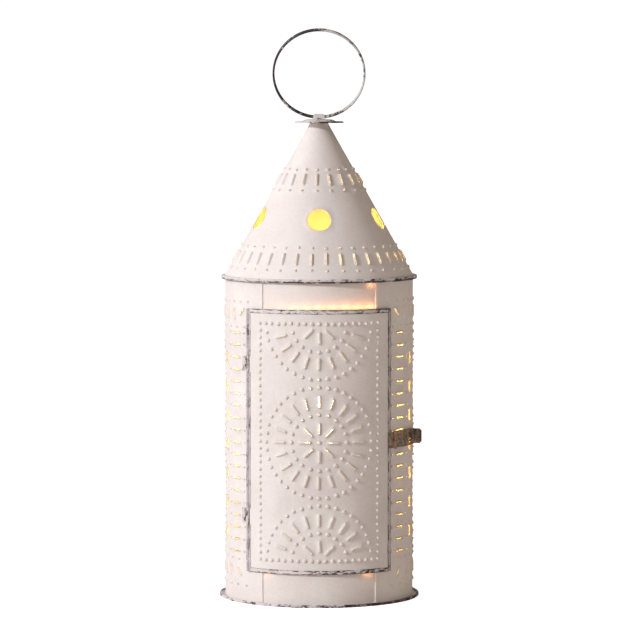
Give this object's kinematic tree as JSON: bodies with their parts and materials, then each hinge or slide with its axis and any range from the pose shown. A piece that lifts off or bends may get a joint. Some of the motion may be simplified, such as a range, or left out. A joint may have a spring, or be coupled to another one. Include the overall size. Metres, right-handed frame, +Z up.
{
  "type": "punched metal lantern",
  "caption": "Tall punched sheet-metal lantern with a cone roof, carrying ring, hinged door with a hasp, and a candle-style electric lamp inside.",
  "frame": {"origin": "centre of the base's underside, on the surface that the lantern stands on", "axes": "+Z up; -Y is the front, where the door is; +X is the door's latch side"},
  "size_m": [0.191, 0.189, 0.5344],
  "materials": {
    "cream_paint": "matte off-white paint, lightly rubbed",
    "worn_edge": "off-white paint rubbed through to dark metal",
    "worn_ring": "dark metal with remnants of off-white paint",
    "aged_iron": "aged brown metal with rust and paint remnants",
    "black_rubber": "matte",
    "plated_steel": "dull zinc plate",
    "brass": "satin",
    "brown_phenolic": "moulded, semi-gloss",
    "candle_card": "matte waxed card",
    "bulb_glass": "clear, thin",
    "bulb_cap_metal": "satin",
    "black_insulator": "vitrified, gloss",
    "stem_glass": "pressed glass",
    "filament": "glowing wire"
  },
  "bodies": {
    "lantern_body": {"base_plate": "cream_paint", "base_rim": "worn_edge", "body_shell": "cream_paint", "bottom_band": "cream_paint", "top_band": "cream_paint", "roof_rim": "worn_edge", "roof_cone": "cream_paint", "cap_disc": "worn_edge", "cap_boss": "cream_paint", "ring_holder": "cream_paint", "holder_rivets": "worn_edge", "upper_hinge_strap": "worn_edge", "lower_hinge_strap": "worn_edge", "hinge_strap_rivets": "worn_edge", "latch_staple": "aged_iron", "cord_grommet": "black_rubber", "lamp_bracket": "plated_steel", "bracket_rivets": "plated_steel", "threaded_nipple": "brass", "nipple_locknut": "brass", "lampholder_stem": "plated_steel", "lampholder_body": "brown_phenolic", "lampholder_screw_shell": "brass", "lampholder_contact": "brass", "candle_sleeve": "candle_card", "bulb_glass": "bulb_glass", "bulb_screw_cap": "bulb_cap_metal", "bulb_insulator": "black_insulator", "bulb_contact": "bulb_cap_metal", "bulb_stem": "stem_glass", "bulb_filament": "filament"},
    "door": {"door_panel": "cream_paint", "door_top_binding": "worn_edge", "door_bottom_binding": "worn_edge", "door_latch_binding": "worn_edge", "door_hinge_binding": "worn_edge", "door_hinge_wire": "worn_edge", "hasp_hinge_leaf": "aged_iron", "hasp_pin": "aged_iron"},
    "hasp": {"hasp_strap": "aged_iron"},
    "ring": {"carry_ring": "worn_ring"}
  },
  "joints": [
    {"name": "door_swing", "type": "hinge", "parent": "lantern_body", "child": "door", "pos_m": [-0.06611, -0.06165, 0.15285], "axis": [0, 0, -1], "range_deg": [0, 130]},
    {"name": "hasp_swing", "type": "hinge", "parent": "door", "child": "hasp", "pos_m": [0.07081, -0.05858, 0.1527], "axis": [0, 0, -1], "range_deg": [0, 100]},
    {"name": "ring_tilt", "type": "hinge", "parent": "lantern_body", "child": "ring", "pos_m": [0, 0, 0.45145], "axis": [1, 0, 0], "range_deg": [-43, 9]}
  ]
}
